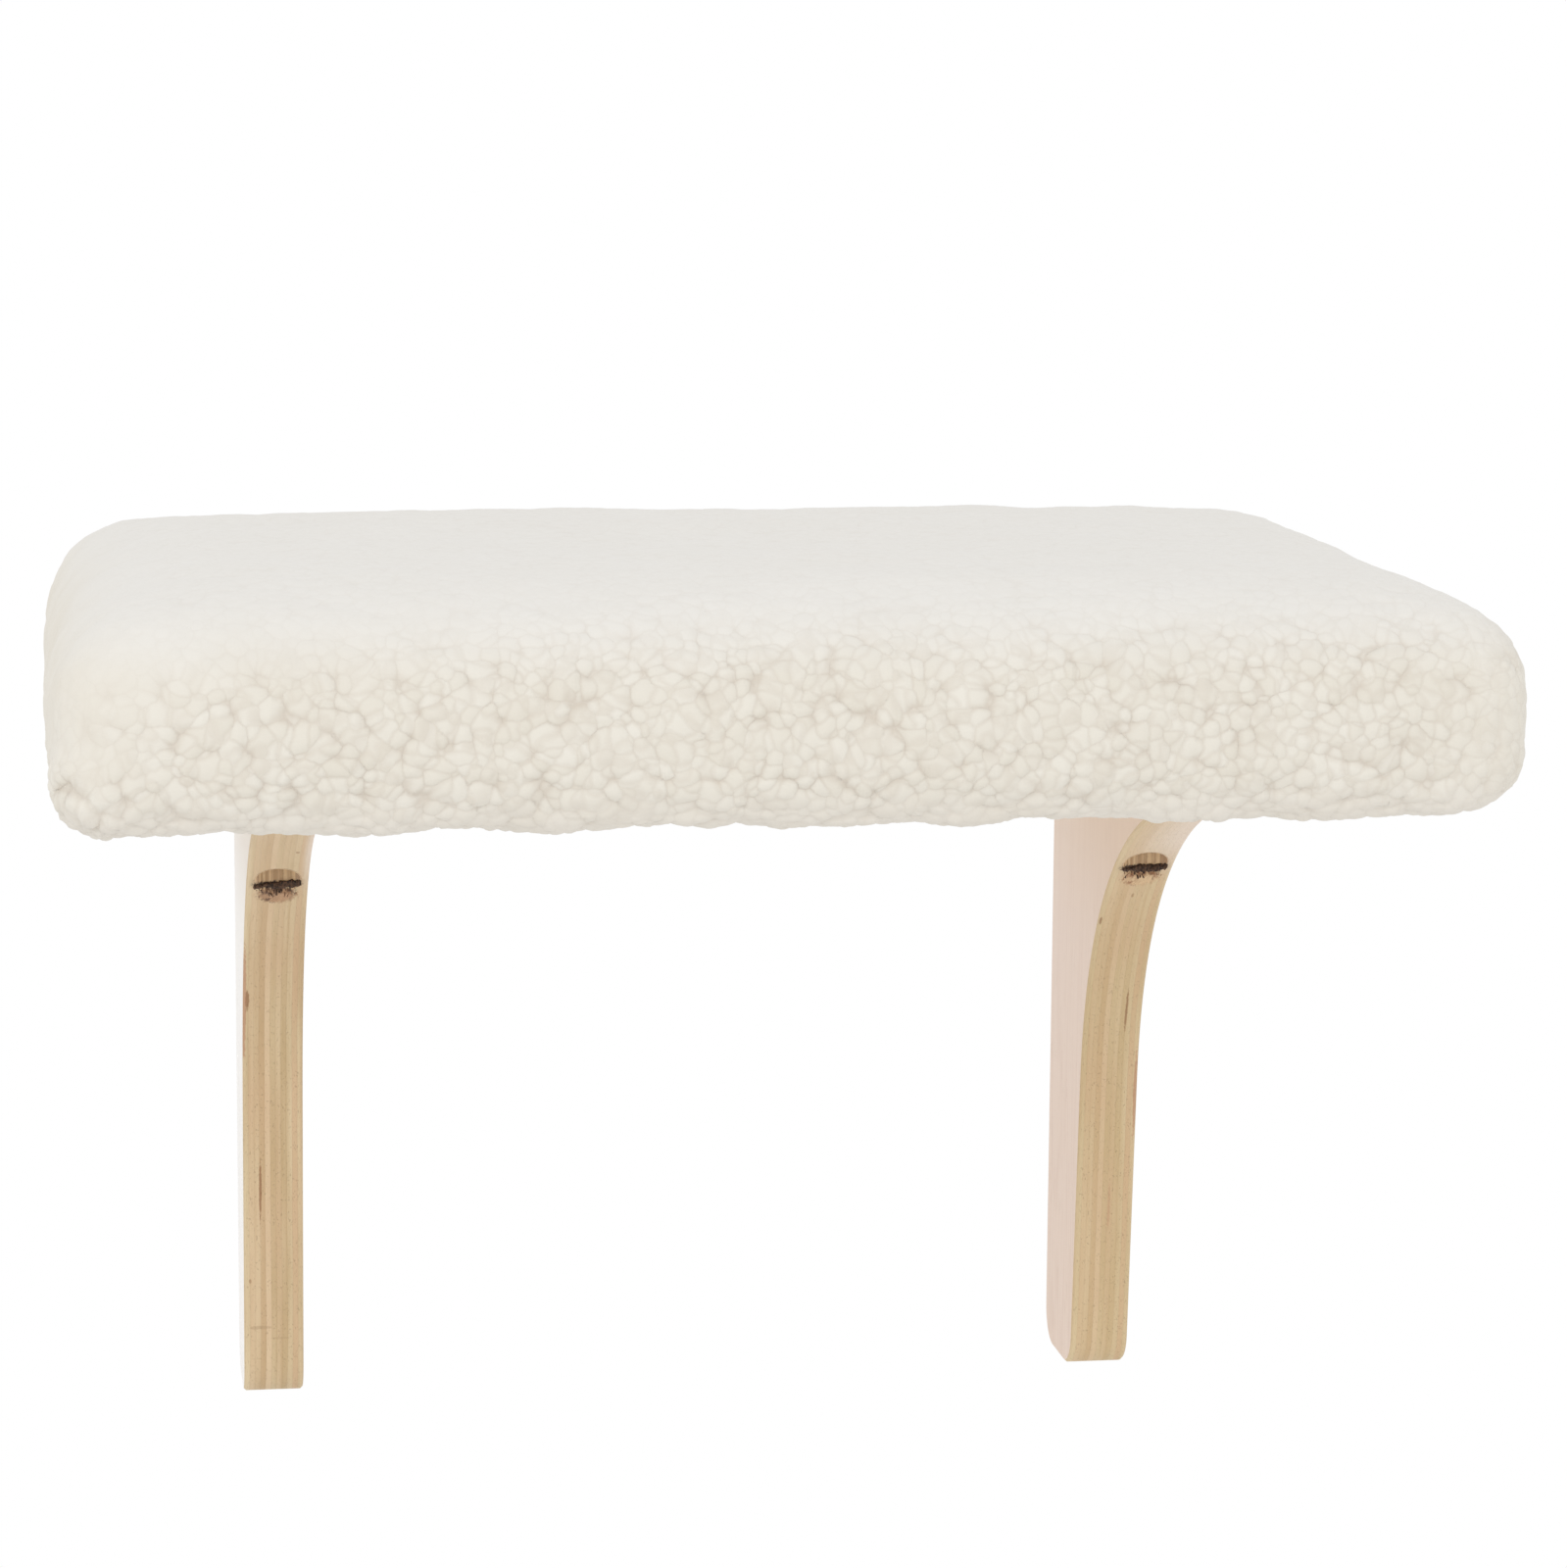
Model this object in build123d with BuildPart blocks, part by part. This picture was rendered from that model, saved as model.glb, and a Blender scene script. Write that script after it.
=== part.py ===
from build123d import *
import math
import os

# Cat perch: an upholstered seat board bolted to two sawn plywood brackets that hang on a wall.
# X runs along the wall, Y points into it with the wall face at Y = 0, and Z is up.
# The origin is midway between the two keyholes that drop over the wall screws.
# All lengths are in millimetres.

# Brackets
ply_thickness = 25.4
bracket_inset = 72.0
bracket_height = 305.0
bracket_reach = 254.0
foot_depth = 54.0
leg_depth = 65.5
curve_drop = 172.0
nose_flat = 14.0
arm_tip_height = 24.0
foot_corner_radius = 16.0
nose_corner_radius = 12.0
top_corner_radius = 3.0
arris_bevel = 1.0
curve_start_share = 0.86
curve_end_share = 0.1

# Keyholes in the back edges of the legs
keyhole_drop = 40.0
keyhole_head_radius = 5.0
keyhole_neck_width = 5.6
keyhole_travel = 14.0
keyhole_lip = 4.0
keyhole_depth = 10.5

# Seat board
board_width = 508.0
board_depth = 330.0
board_thickness = 12.7
board_corner_radius = 12.0
board_edge_bevel = 1.5

# Bolts, washers and tee nuts that join the seat to the brackets
rear_bolt_depth = 127.0
front_bolt_inset = 32.0
bolt_web = 14.0
counterbore_radius = 9.25
bolt_hole_radius = 3.6
bolt_radius = 3.175
bolt_length = 25.4
bolt_head_width = 11.1
bolt_head_height = 4.2
bolt_tip_chamfer = 0.8
washer_radius = 8.0
washer_thickness = 1.6
thread_clearance = 0.08
tee_flange_radius = 9.5
tee_flange_thickness = 1.5
tee_barrel_radius = 4.3
tee_barrel_length = 10.0
tee_prong_circle_radius = 7.4
tee_prong_width = 2.6
tee_prong_thickness = 1.2
tee_prong_length = 6.5
tee_prong_count = 3
tee_clearance = 0.1

# Foam pad, which laps over the edges of the board
pad_overhang = 12.5
pad_clearance = 0.3
pad_crown = 4.0
crown_inset_shares = (0.19, 0.32)
crown_rise_shares = (0.7, 1.0)

# Fleece cover, with its pile
cover_thickness = 9.0
cover_wall_clearance = 0.3
cover_pad_clearance = 0.3
cover_corner_radius = 22.0
cover_corner_radius_share = 0.45
cover_top_radius = 48.0
cover_bottom_radius = 25.0
cover_side_height = 11.0
cover_bottom_turns = (90, 65, 40, 18, 0)
cover_top_turns = (0, 18, 36, 54, 70, 84)
hem_thickness = 8.0
hem_width = 36.0
hem_corner_radius = 20.0
notch_clearance = 0.5

# Staples that hold the hem up to the board
staple_crown = 10.0
staple_wire_width = 1.2
staple_wire_thickness = 0.9
staple_bite = 5.0
staple_pull = 3.5
staple_inset = 18.0
staple_clearance = 0.1
front_staple_count = 9
side_staple_count = 5
back_staple_count = 5
staple_run_share = 0.84
back_staple_run_share = 0.7
cut_overrun = 1.0

# Levels that several pieces share
board_bottom = keyhole_drop
board_top = board_bottom + board_thickness
cover_bottom = board_bottom - hem_thickness
foot_bottom = board_bottom - bracket_height
tip_bottom = board_bottom - arm_tip_height
curve_foot = board_bottom - curve_drop
curve_reach = bracket_reach - nose_flat
bolt_seat = board_bottom - bolt_web
board_back = -cover_wall_clearance - cover_thickness - pad_overhang
board_front = board_back - board_depth
board_middle = (board_back + board_front) / 2
bracket_spacing = board_width - 2 * bracket_inset
bracket_middles = {"left": -bracket_spacing / 2, "right": bracket_spacing / 2}
bolt_depths = {"rear": rear_bolt_depth, "front": bracket_reach - front_bolt_inset}
bolt_places = [(x, -depth) for x in bracket_middles.values() for depth in bolt_depths.values()]

os.makedirs("parts", exist_ok=True)


def keep(piece, name):
    piece.part.label = name
    export_step(piece.part, f"parts/{name}.step")


def spread(run, count):
    return [run * (index / (count - 1) - 1 / 2) for index in range(count)]


# Two brackets. Each is sawn from one plank: a tall leg against the wall, an arm under the seat,
# and a swept curve between them. Plies lie in the plane of the wall's depth, so they show as stripes.
for side, middle in bracket_middles.items():
    with BuildPart() as bracket:
        with BuildSketch(Plane.YZ.offset(middle - ply_thickness / 2)):
            with BuildLine():
                foot_front = Vector(-foot_depth, foot_bottom)
                curve_start = Vector(-leg_depth, curve_foot)
                curve_end = Vector(-curve_reach, tip_bottom)
                leg_slope = (curve_start - foot_front).normalized()
                start_handle = leg_slope * (curve_start_share * (tip_bottom - curve_foot))
                end_handle = Vector(curve_end_share * (curve_reach - leg_depth), 0)
                Line(foot_front, curve_start)
                Bezier(curve_start, curve_start + start_handle, curve_end + end_handle, curve_end)
                Polyline(
                    curve_end,
                    (-bracket_reach, tip_bottom),
                    (-bracket_reach, board_bottom),
                    (0, board_bottom),
                    (0, foot_bottom),
                    foot_front,
                )
            make_face()
            fillet(vertices().group_by(Axis.Y)[0], radius=foot_corner_radius)
            fillet(vertices().group_by(Axis.X)[0].sort_by(Axis.Y)[-1], radius=top_corner_radius)
            fillet(vertices().group_by(Axis.X)[0].sort_by(Axis.Y)[0], radius=nose_corner_radius)
        extrude(amount=ply_thickness)
        broad_faces = faces().filter_by(Axis.X).sort_by(SortBy.AREA)[-2:]
        chamfer(broad_faces.edges(), length=arris_bevel)

        # Counterbores run straight up from the underside, so the rear one breaks out on the curve.
        with BuildSketch(Plane.XY.offset(bolt_seat)):
            with Locations(*[(middle, -depth) for depth in bolt_depths.values()]):
                Circle(counterbore_radius)
        extrude(amount=-bracket_height, mode=Mode.SUBTRACT)
        with BuildSketch(Plane.XY.offset(bolt_seat)):
            with Locations(*[(middle, -depth) for depth in bolt_depths.values()]):
                Circle(bolt_hole_radius)
        extrude(amount=bolt_web + cut_overrun, mode=Mode.SUBTRACT)

        # Keyhole: a round entry for the screw head, a neck above it and a wider way behind the lip.
        with BuildSketch(Plane.XZ):
            with Locations((middle, 0)):
                Circle(keyhole_head_radius)
            with Locations((middle, keyhole_travel / 2)):
                SlotCenterToCenter(keyhole_travel, keyhole_neck_width, rotation=90)
        extrude(amount=keyhole_depth, mode=Mode.SUBTRACT)
        with BuildSketch(Plane.XZ.offset(keyhole_lip)):
            with Locations((middle, keyhole_travel / 2)):
                SlotCenterToCenter(keyhole_travel, 2 * keyhole_head_radius, rotation=90)
        extrude(amount=keyhole_depth - keyhole_lip, mode=Mode.SUBTRACT)
    keep(bracket, f"bracket_{side}")


# Staples. Rows follow the four edges of the board; the back row keeps clear of both legs.
staple_line_width = board_width - 2 * staple_inset
staple_line_depth = board_depth - 2 * staple_inset
front_line = board_front + staple_inset
back_line = board_back - staple_inset
back_run = back_staple_run_share * bracket_spacing
staple_rows = {
    "front": [(x, front_line, 0) for x in spread(staple_run_share * staple_line_width, front_staple_count)],
    "back": [(x, back_line, 0) for x in spread(back_run, back_staple_count)],
    "left": [
        (-staple_line_width / 2, board_middle + y, 90)
        for y in spread(staple_run_share * staple_line_depth, side_staple_count)
    ],
    "right": [
        (staple_line_width / 2, board_middle + y, 90)
        for y in spread(staple_run_share * staple_line_depth, side_staple_count)
    ],
}
staple_crown_top = board_bottom - staple_pull
staple_leg_middle = (staple_crown - staple_wire_thickness) / 2


def crown_outline(row, clearance):
    with BuildSketch(Plane.XY.offset(staple_crown_top)) as outline:
        for x, y, turn in row:
            with Locations(Location((x, y, 0), (0, 0, turn))):
                Rectangle(staple_crown + 2 * clearance, staple_wire_width + 2 * clearance)
    return outline.sketch


def leg_outline(row, clearance):
    with BuildSketch(Plane.XY.offset(staple_crown_top)) as outline:
        for x, y, turn in row:
            with Locations(Location((x, y, 0), (0, 0, turn))):
                with Locations((-staple_leg_middle, 0), (staple_leg_middle, 0)):
                    Rectangle(staple_wire_thickness + 2 * clearance, staple_wire_width + 2 * clearance)
    return outline.sketch


for side, row in staple_rows.items():
    with BuildPart() as staples:
        extrude(crown_outline(row, 0), amount=-staple_wire_thickness)
        extrude(leg_outline(row, 0), amount=staple_pull + staple_bite)
    keep(staples, f"hem_staples_{side}")
every_staple = [place for row in staple_rows.values() for place in row]


# Tee nuts, set flush in the top of the board with their barrels pointing down to the brackets.
tee_bore_radius = bolt_radius + thread_clearance
for side, middle in bracket_middles.items():
    for row, depth in bolt_depths.items():
        with BuildPart() as tee_nut:
            with BuildSketch(Plane.XY.offset(board_top)):
                with Locations((middle, -depth)):
                    Circle(tee_flange_radius)
            extrude(amount=-tee_flange_thickness)
            with BuildSketch(Plane.XY.offset(board_top)):
                with Locations((middle, -depth)):
                    Circle(tee_barrel_radius)
            extrude(amount=-tee_barrel_length)
            with BuildSketch(Plane.XY.offset(board_top - tee_flange_thickness)):
                with Locations((middle, -depth)):
                    with PolarLocations(tee_prong_circle_radius, tee_prong_count):
                        Rectangle(tee_prong_thickness, tee_prong_width)
            extrude(amount=-tee_prong_length)
            with BuildSketch(Plane.XY.offset(board_top)):
                with Locations((middle, -depth)):
                    Circle(tee_bore_radius)
            extrude(amount=-tee_barrel_length, mode=Mode.SUBTRACT)
        keep(tee_nut, f"tee_nut_{side}_{row}")

        with BuildPart() as washer:
            with BuildSketch(Plane.XY.offset(bolt_seat - washer_thickness)):
                with Locations((middle, -depth)):
                    Circle(washer_radius)
                    Circle(bolt_hole_radius, mode=Mode.SUBTRACT)
            extrude(amount=washer_thickness)
        keep(washer, f"washer_{side}_{row}")

        with BuildPart() as bolt:
            with BuildSketch(Plane.XY.offset(bolt_seat - washer_thickness)):
                with Locations((middle, -depth)):
                    RegularPolygon(bolt_head_width / 2, side_count=6, major_radius=False)
            extrude(amount=-bolt_head_height)
            with BuildSketch(Plane.XY.offset(bolt_seat - washer_thickness)):
                with Locations((middle, -depth)):
                    Circle(bolt_radius)
            extrude(amount=bolt_length)
            chamfer(faces().sort_by(Axis.Z)[-1].edges(), length=bolt_tip_chamfer)
        keep(bolt, f"bolt_{side}_{row}")


# Seat board: plywood with rounded corners, holes for the tee nuts and the bites of the staples.
with BuildPart() as deck_board:
    with BuildSketch(Plane.XY.offset(board_bottom)):
        with Locations((0, board_middle)):
            RectangleRounded(board_width, board_depth, board_corner_radius)
    extrude(amount=board_thickness)
    chamfer(faces().sort_by(Axis.Z)[-1].edges(), length=board_edge_bevel)
    with BuildSketch(Plane.XY.offset(board_bottom)):
        with Locations(*bolt_places):
            Circle(tee_barrel_radius + tee_clearance)
    extrude(amount=board_thickness, mode=Mode.SUBTRACT)
    with BuildSketch(Plane.XY.offset(board_top)):
        with Locations(*bolt_places):
            Circle(tee_flange_radius + tee_clearance)
    extrude(amount=-tee_flange_thickness, mode=Mode.SUBTRACT)
    with BuildSketch(Plane.XY.offset(board_top)):
        with Locations(*bolt_places):
            with PolarLocations(tee_prong_circle_radius, tee_prong_count):
                Rectangle(tee_prong_thickness + 2 * tee_clearance, tee_prong_width + 2 * tee_clearance)
    extrude(amount=-tee_flange_thickness - tee_prong_length - tee_clearance, mode=Mode.SUBTRACT)
    extrude(
        leg_outline(every_staple, staple_clearance),
        amount=staple_pull + staple_bite + staple_clearance,
        mode=Mode.SUBTRACT,
    )
keep(deck_board, "deck_board")


# The pad and its cover are lofts through rounded rectangles. A level is how far its outline lies
# inside the widest outline of the cover, and its height. The sides draw in to the hem below and
# roll over to the crown above.
cover_width = board_width + 2 * (pad_overhang + cover_thickness)
cover_depth = board_depth + 2 * (pad_overhang + cover_thickness)
side_foot = cover_bottom + cover_bottom_radius
shoulder = side_foot + cover_side_height


def padded_form(skin):
    lower = cover_bottom_radius - skin
    upper = cover_top_radius - skin
    levels = []
    for turn in cover_bottom_turns:
        angle = math.radians(turn)
        levels.append((skin + lower * (1 - math.cos(angle)), side_foot - lower * math.sin(angle)))
    for turn in cover_top_turns:
        angle = math.radians(turn)
        levels.append((skin + upper * (1 - math.cos(angle)), shoulder + upper * math.sin(angle)))
    for share, rise in zip(crown_inset_shares, crown_rise_shares):
        levels.append((share * cover_depth, shoulder + upper + pad_crown * rise))

    sections = []
    for inset, height in levels:
        radius = max(cover_corner_radius - inset, cover_corner_radius * cover_corner_radius_share)
        with BuildSketch(Plane.XY.offset(height)) as section:
            with Locations((0, board_middle)):
                RectangleRounded(cover_width - 2 * inset, cover_depth - 2 * inset, radius)
        sections.append(section.sketch)
    return sections


def board_room(clearance):
    with BuildSketch(Plane.XY.offset(board_bottom)) as outline:
        with Locations((0, board_middle)):
            RectangleRounded(
                board_width + 2 * clearance, board_depth + 2 * clearance, board_corner_radius + clearance
            )
    return outline.sketch


# Foam pad: sits flat on the board, with a lip that laps down over the edges of the board.
with BuildPart() as foam_pad:
    loft(sections=padded_form(cover_thickness), ruled=True)
    extrude(board_room(pad_clearance), amount=board_thickness, mode=Mode.SUBTRACT)
keep(foam_pad, "foam_pad")


# Fleece cover: drawn over pad and board, turned under the board as a hem, and cut away round the
# two legs so that the brackets bear on bare plywood.
hem_back = board_back - hem_width
with BuildPart() as fleece_cover:
    loft(sections=padded_form(0), ruled=True)
    loft(sections=padded_form(cover_thickness - cover_pad_clearance), ruled=True, mode=Mode.SUBTRACT)
    extrude(board_room(pad_clearance), amount=board_thickness, mode=Mode.SUBTRACT)
    with BuildSketch(Plane.XY.offset(cover_bottom - cut_overrun)):
        with Locations((0, board_middle)):
            RectangleRounded(board_width - 2 * hem_width, board_depth - 2 * hem_width, hem_corner_radius)
    extrude(amount=hem_thickness + 2 * cut_overrun, mode=Mode.SUBTRACT)
    with BuildSketch(Plane.XY.offset(board_bottom)):
        with Locations(*[(middle, hem_back / 2) for middle in bracket_middles.values()]):
            Rectangle(ply_thickness + 2 * notch_clearance, -hem_back + 2 * cut_overrun)
    extrude(amount=-hem_thickness - cut_overrun, mode=Mode.SUBTRACT)
    extrude(crown_outline(every_staple, staple_clearance), amount=-hem_thickness, mode=Mode.SUBTRACT)
    extrude(leg_outline(every_staple, staple_clearance), amount=staple_pull, mode=Mode.SUBTRACT)
keep(fleece_cover, "fleece_cover")
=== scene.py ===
import math
import random

import bpy
import numpy as np
from mathutils import Matrix, Vector


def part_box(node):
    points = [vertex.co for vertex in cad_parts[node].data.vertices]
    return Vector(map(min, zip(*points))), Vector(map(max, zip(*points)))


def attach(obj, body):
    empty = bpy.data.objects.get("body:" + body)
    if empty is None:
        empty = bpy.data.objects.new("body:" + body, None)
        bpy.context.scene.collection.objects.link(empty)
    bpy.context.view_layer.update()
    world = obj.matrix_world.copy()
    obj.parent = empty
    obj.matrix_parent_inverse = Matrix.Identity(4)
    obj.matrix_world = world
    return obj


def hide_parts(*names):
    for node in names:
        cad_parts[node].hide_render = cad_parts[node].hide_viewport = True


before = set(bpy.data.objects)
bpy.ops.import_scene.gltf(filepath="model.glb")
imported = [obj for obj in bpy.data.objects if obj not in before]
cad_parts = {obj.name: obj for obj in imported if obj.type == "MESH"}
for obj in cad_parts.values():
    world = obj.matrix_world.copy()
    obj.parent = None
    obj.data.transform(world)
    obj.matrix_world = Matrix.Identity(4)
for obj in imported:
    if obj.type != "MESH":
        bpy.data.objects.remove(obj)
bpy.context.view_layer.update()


# Camera. It stands about two metres out from the wall, left of the middle and above the seat, and
# looks a little to the right and down. It has a long lens, so the seat is hardly foreshortened.
eye_place = Vector((-0.2741, -2.0900, 0.3265))
eye_yaw = math.radians(8.736)
eye_pitch = math.radians(9.009)
eye_roll = math.radians(0.440)

eye_turn = (
    Matrix.Rotation(-eye_yaw, 3, "Z")
    @ Matrix.Rotation(math.pi / 2 - eye_pitch, 3, "X")
    @ Matrix.Rotation(eye_roll, 3, "Z")
)
bpy.ops.object.camera_add(location=eye_place, rotation=eye_turn.to_euler())
eye = bpy.context.object
eye.data.sensor_width = 36
eye.data.lens = 111.16
bpy.context.scene.camera = eye
bpy.context.scene.view_settings.view_transform = "Standard"


# Studio. Two large soft lamps stand in front of the perch, and the white room fills the shadows.
# The floor is the pale floor of the room, a good metre below the seat.
def paint(red, green, blue):
    """A colour as it is seen, in steps of 0 to 255, made linear for the shaders."""
    shares = [step / 255 for step in (red, green, blue)]
    linear = [s / 12.92 if s <= 0.04045 else ((s + 0.055) / 1.055) ** 2.4 for s in shares]
    return (*linear, 1)


def add_node(tree, kind, inputs=(), **settings):
    """A node with its settings. Inputs are values, or the outputs of other nodes."""
    made = tree.nodes.new(kind)
    for name, value in settings.items():
        setattr(made, name, value)
    for name, value in dict(inputs).items():
        if isinstance(value, bpy.types.NodeSocket):
            tree.links.new(value, made.inputs[name])
        else:
            made.inputs[name].default_value = value
    return made


def calc(tree, operation, *terms):
    """The result of one sum on plain values."""
    return add_node(tree, "ShaderNodeMath", dict(enumerate(terms)), operation=operation).outputs[0]


def lamp(name, place, aim, side, watts):
    """A square lamp of a given side that faces the place it aims at."""
    bpy.ops.object.light_add(type="AREA", location=place)
    made = bpy.context.object
    made.name = name
    made.rotation_euler = (Vector(aim) - Vector(place)).to_track_quat("-Z", "Y").to_euler()
    made.data.shape = "SQUARE"
    made.data.size = side
    made.data.energy = watts


lamp("key_lamp", place=(-1.7, -2.3, 1.5), aim=(0, -0.2, 0), side=1.5, watts=15)
lamp("fill_lamp", place=(1.6, -2.4, 0.4), aim=(0, -0.1, 0), side=1.8, watts=6)

room = bpy.data.worlds.new("white_room")
bpy.context.scene.world = room
room.use_nodes = True
room_tree = room.node_tree
room_tree.nodes.clear()
room_light = 0.84
ray = add_node(room_tree, "ShaderNodeLightPath")
seen = calc(room_tree, "MAXIMUM", ray.outputs["Is Camera Ray"], ray.outputs["Is Glossy Ray"])
seen = calc(room_tree, "MAXIMUM", seen, ray.outputs["Is Transmission Ray"])
strength = calc(room_tree, "MULTIPLY_ADD", seen, 1 - room_light, room_light)
sky = add_node(room_tree, "ShaderNodeBackground", {"Color": (1, 1, 1, 1), "Strength": strength})
add_node(room_tree, "ShaderNodeOutputWorld", {"Surface": sky.outputs[0]})

floor_width = 3.2
floor_depth = 3.0
floor_out = 1.1
floor_drop = 1.2
bpy.ops.mesh.primitive_plane_add(size=1, location=(0, -floor_out, -floor_drop))
floor = bpy.context.object
floor.name = "floor"
floor.scale = (floor_width, floor_depth, 1)
bpy.ops.object.transform_apply(location=True, rotation=False, scale=True)
floor_paint = bpy.data.materials.new("pale_floor")
floor_paint.use_nodes = True
floor_shader = floor_paint.node_tree.nodes["Principled BSDF"]
floor_shader.inputs["Base Color"].default_value = paint(246, 245, 243)
floor_shader.inputs["Roughness"].default_value = 0.8
floor.data.materials.append(floor_paint)


# Plywood, for the seat board and both brackets: birch, sawn and sanded, with no finish on it. The
# broad faces show pale veneer with fine grain, and the sawn edges show the plies in soft stripes.
def mix(tree, factor, first, second, blend="MIX"):
    """Two colours mixed. A factor of 0 gives the first and 1 gives the second."""
    inputs = {0: factor, 6: first, 7: second}
    return add_node(tree, "ShaderNodeMix", inputs, data_type="RGBA", blend_type=blend).outputs[2]


def ease(tree, value, low, high, start=0.0, end=1.0):
    """A smooth step from start, at low and below, to end, at high and above."""
    inputs = {0: value, 1: low, 2: high, 3: start, 4: end}
    return add_node(tree, "ShaderNodeMapRange", inputs, interpolation_type="SMOOTHSTEP").outputs[0]


def vector_calc(tree, operation, *terms):
    """The result of one sum on vectors, as a vector."""
    return add_node(tree, "ShaderNodeVectorMath", dict(enumerate(terms)), operation=operation).outputs[0]


def split(tree, vector):
    """The X, Y and Z of a vector, each by its name."""
    return add_node(tree, "ShaderNodeSeparateXYZ", {0: vector}).outputs


def stretched_noise(tree, vector, stretch, scale, detail=2.0, distortion=0.0):
    """Noise with its features drawn out along the axes whose stretch is small."""
    drawn = vector_calc(tree, "MULTIPLY", vector, stretch)
    inputs = {"Vector": drawn, "Scale": scale, "Detail": detail, "Distortion": distortion}
    return add_node(tree, "ShaderNodeTexNoise", inputs).outputs[0]


def new_group(name, inputs, outputs):
    """An empty shader group. Inputs and outputs are pairs of a name and a kind of socket."""
    group = bpy.data.node_groups.new(name, "ShaderNodeTree")
    for label, kind in inputs:
        group.interface.new_socket(label, in_out="INPUT", socket_type="NodeSocket" + kind)
    for label, kind in outputs:
        group.interface.new_socket(label, in_out="OUTPUT", socket_type="NodeSocket" + kind)
    return group, group.nodes.new("NodeGroupInput").outputs


def place_group(tree, group, inputs):
    """Puts a group into a tree and gives its outputs by name."""
    return add_node(tree, "ShaderNodeGroup", inputs, node_tree=group).outputs


sawn_plies, given = new_group(
    "sawn_plies",
    [
        ("Place", "Vector"),
        ("Across", "Float"),
        ("Plies", "Float"),
        ("Light", "Color"),
        ("Dark", "Color"),
        ("Warm", "Color"),
    ],
    [("Color", "Color"), ("Height", "Float")],
)
ply = calc(sawn_plies, "MULTIPLY", given["Across"], given["Plies"])
wobble = stretched_noise(sawn_plies, given["Place"], (1, 1, 1), 16, 1)
ply = calc(sawn_plies, "ADD", ply, calc(sawn_plies, "MULTIPLY_ADD", wobble, 0.7, -0.35))
ply_number = calc(sawn_plies, "FLOOR", ply)
cross_ply = calc(sawn_plies, "MODULO", calc(sawn_plies, "ABSOLUTE", ply_number), 2)
ply_tone = add_node(sawn_plies, "ShaderNodeTexWhiteNoise", {"W": ply_number}, noise_dimensions="1D")
ply_hue = add_node(sawn_plies, "ShaderNodeSeparateColor", {0: ply_tone.outputs["Color"]}).outputs
seam = calc(sawn_plies, "SUBTRACT", calc(sawn_plies, "FRACT", ply), 0.5)
seam = ease(sawn_plies, calc(sawn_plies, "ABSOLUTE", seam), 0.36, 0.5)
streaks = stretched_noise(sawn_plies, given["Place"], (1, 0.02, 0.02), 700, 3)
wide_streaks = stretched_noise(sawn_plies, given["Place"], (1, 0.05, 0.05), 200, 2)
patches = stretched_noise(sawn_plies, given["Place"], (1, 0.4, 0.4), 60, 2)
pores = ease(sawn_plies, stretched_noise(sawn_plies, given["Place"], (1, 0.6, 0.6), 1900, 2), 0.62, 0.76)
shade = calc(sawn_plies, "MULTIPLY_ADD", cross_ply, 0.30, calc(sawn_plies, "MULTIPLY", ply_hue[0], 0.62))
shade = calc(sawn_plies, "ADD", shade, calc(sawn_plies, "MULTIPLY_ADD", streaks, 0.5, -0.25))
shade = calc(sawn_plies, "ADD", shade, calc(sawn_plies, "MULTIPLY_ADD", wide_streaks, 1.1, -0.52))
shade = ease(sawn_plies, calc(sawn_plies, "MULTIPLY_ADD", seam, 0.10, shade), -0.1, 1.0)
edge_colour = mix(sawn_plies, shade, given["Light"], given["Dark"])
warmth = calc(sawn_plies, "MULTIPLY_ADD", patches, 0.5, calc(sawn_plies, "MULTIPLY", ply_hue[1], 0.5))
edge_colour = mix(sawn_plies, ease(sawn_plies, warmth, 0.2, 0.8, end=0.8), edge_colour, given["Warm"])
edge_colour = mix(sawn_plies, calc(sawn_plies, "MULTIPLY", pores, 0.3), edge_colour, given["Dark"])
edge_height = calc(sawn_plies, "SUBTRACT", streaks, calc(sawn_plies, "MULTIPLY_ADD", seam, 0.4, pores))
add_node(sawn_plies, "NodeGroupOutput", {"Color": edge_colour, "Height": edge_height})

face_veneer, given = new_group(
    "face_veneer",
    [("Place", "Vector"), ("Light", "Color"), ("Dark", "Color")],
    [("Color", "Color"), ("Height", "Float")],
)
figure = stretched_noise(face_veneer, given["Place"], (1, 1, 0.07), 40, 3, 0.9)
bands = ease(face_veneer, calc(face_veneer, "SINE", calc(face_veneer, "MULTIPLY", figure, 40)), -1.0, 1.0)
fibres = stretched_noise(face_veneer, given["Place"], (1, 1, 0.03), 620, 3)
flecks = ease(face_veneer, stretched_noise(face_veneer, given["Place"], (1, 1, 0.12), 480, 2), 0.63, 0.74)
shade = calc(face_veneer, "MULTIPLY_ADD", bands, 0.24, calc(face_veneer, "MULTIPLY_ADD", fibres, 0.8, -0.2))
shade = ease(face_veneer, calc(face_veneer, "MULTIPLY_ADD", flecks, 0.25, shade), 0.0, 1.0)
face_colour = mix(face_veneer, shade, given["Light"], given["Dark"])
face_height = calc(face_veneer, "SUBTRACT", fibres, flecks)
add_node(face_veneer, "NodeGroupOutput", {"Color": face_colour, "Height": face_height})

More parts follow.
